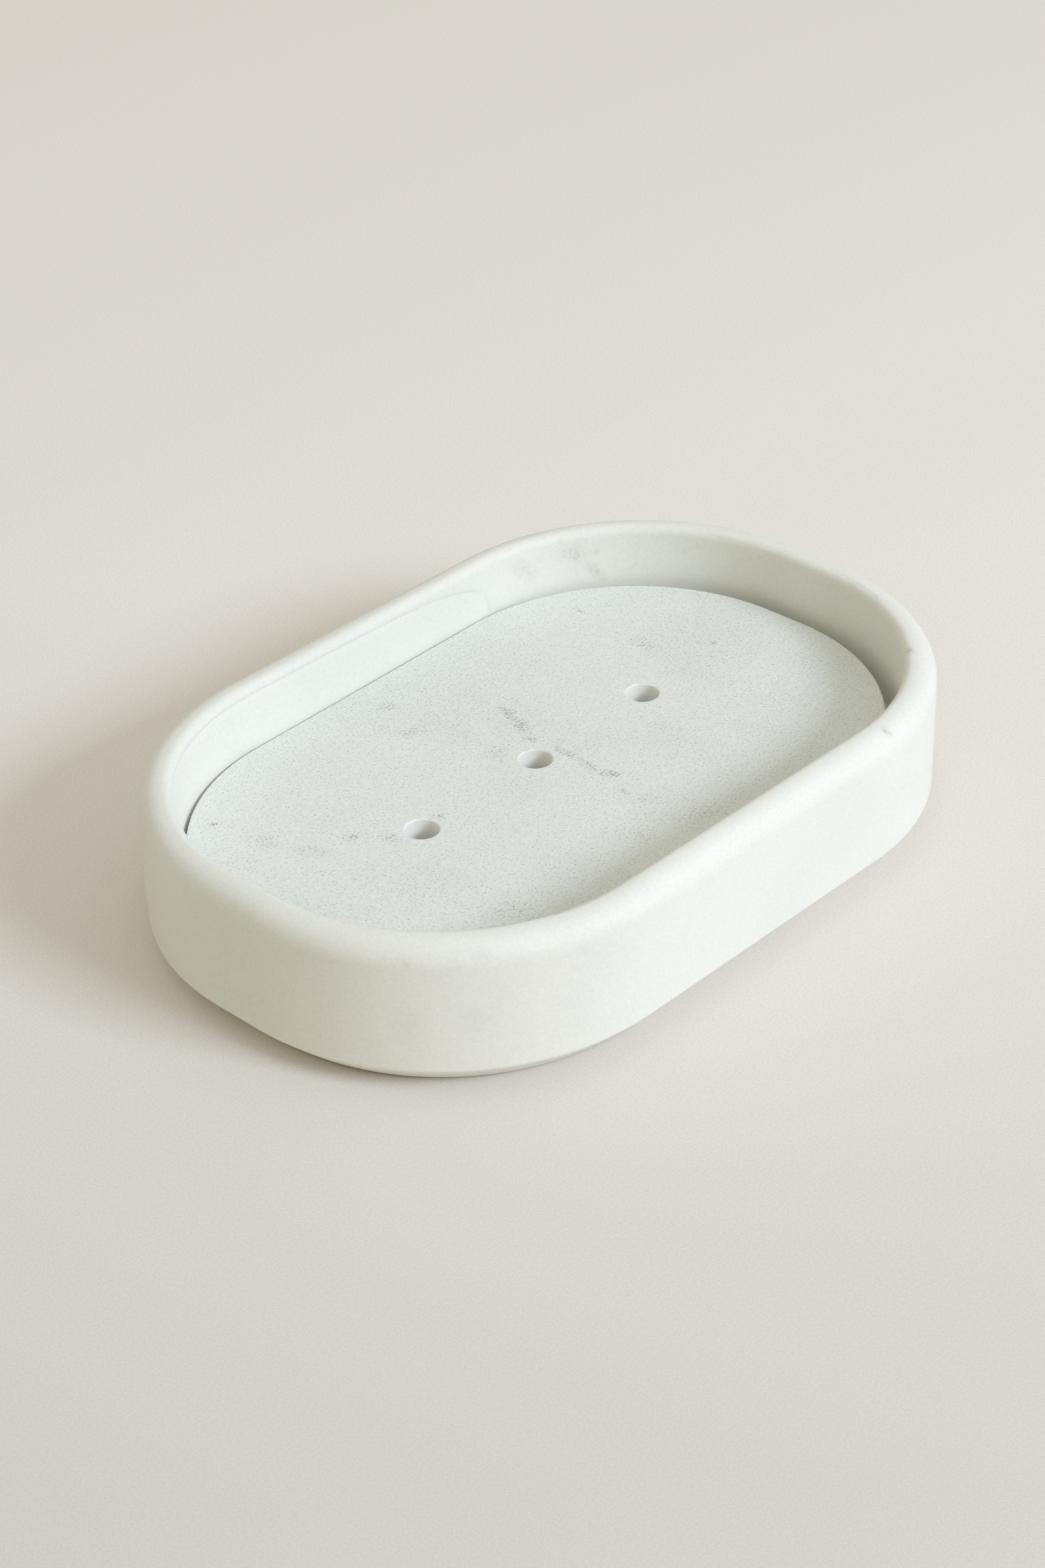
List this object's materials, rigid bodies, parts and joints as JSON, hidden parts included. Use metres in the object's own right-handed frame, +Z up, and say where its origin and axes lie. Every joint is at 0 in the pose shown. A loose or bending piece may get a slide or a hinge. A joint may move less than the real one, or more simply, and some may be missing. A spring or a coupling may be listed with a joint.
{
  "type": "soap dish",
  "caption": "Oblong honed white marble soap dish: rimmed tray with a stepped pocket, and a loose drain plate with round holes that lifts out over a sump.",
  "frame": {"origin": "under the middle of the tray, on the surface that the feet stand on", "axes": "+X along the length of the dish, towards the right end; +Y across it, towards the back; +Z up"},
  "size_m": [0.15, 0.1, 0.029],
  "materials": {
    "tray_marble": "honed white marble, faint grey veins",
    "plate_marble": "honed white marble, fine grey speckle and faint veins",
    "foot_silicone": "matte milky silicone"
  },
  "bodies": {
    "dish": {"tray": "tray_marble", "foot_front_left": "foot_silicone", "foot_front_right": "foot_silicone", "foot_back_left": "foot_silicone", "foot_back_right": "foot_silicone"},
    "plate": {"drain_plate": "plate_marble"}
  },
  "joints": [
    {"name": "plate_lift", "type": "slide", "parent": "dish", "child": "plate", "axis": [0, 0, 1], "range_m": [0, 0.04]}
  ]
}
